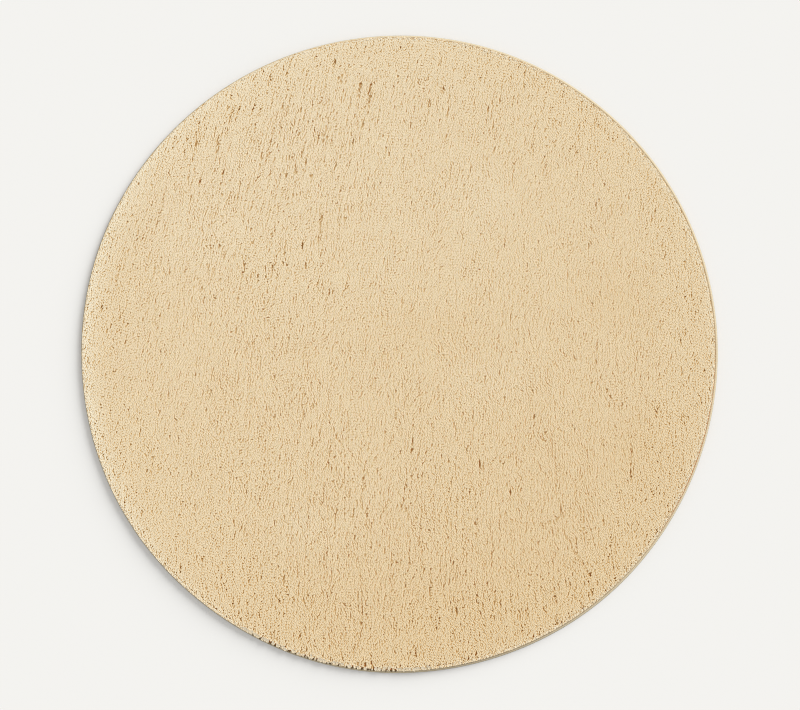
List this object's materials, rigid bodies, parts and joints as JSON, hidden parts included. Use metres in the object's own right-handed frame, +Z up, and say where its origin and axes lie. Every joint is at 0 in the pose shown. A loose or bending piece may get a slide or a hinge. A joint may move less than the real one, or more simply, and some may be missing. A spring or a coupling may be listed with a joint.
{
  "type": "round short pile rug",
  "caption": "Round short pile rug: a flat disc of cut pile cloth with a narrow bound edge round its rim, lying on the floor.",
  "frame": {"origin": "middle of the rug's outline, on the floor that it lies on", "axes": "+Z up through the pile, +Y towards the far side of the rug as the picture shows it, +X to its right"},
  "size_m": [1.997, 1.9994, 0.0171],
  "materials": {
    "pile_yarn": "matt cream cut pile of soft yarn",
    "binding_yarn": "matt beige yarn, closely overcast"
  },
  "bodies": {
    "root": {"rug_field": "pile_yarn", "edge_binding": "binding_yarn"}
  },
  "joints": []
}
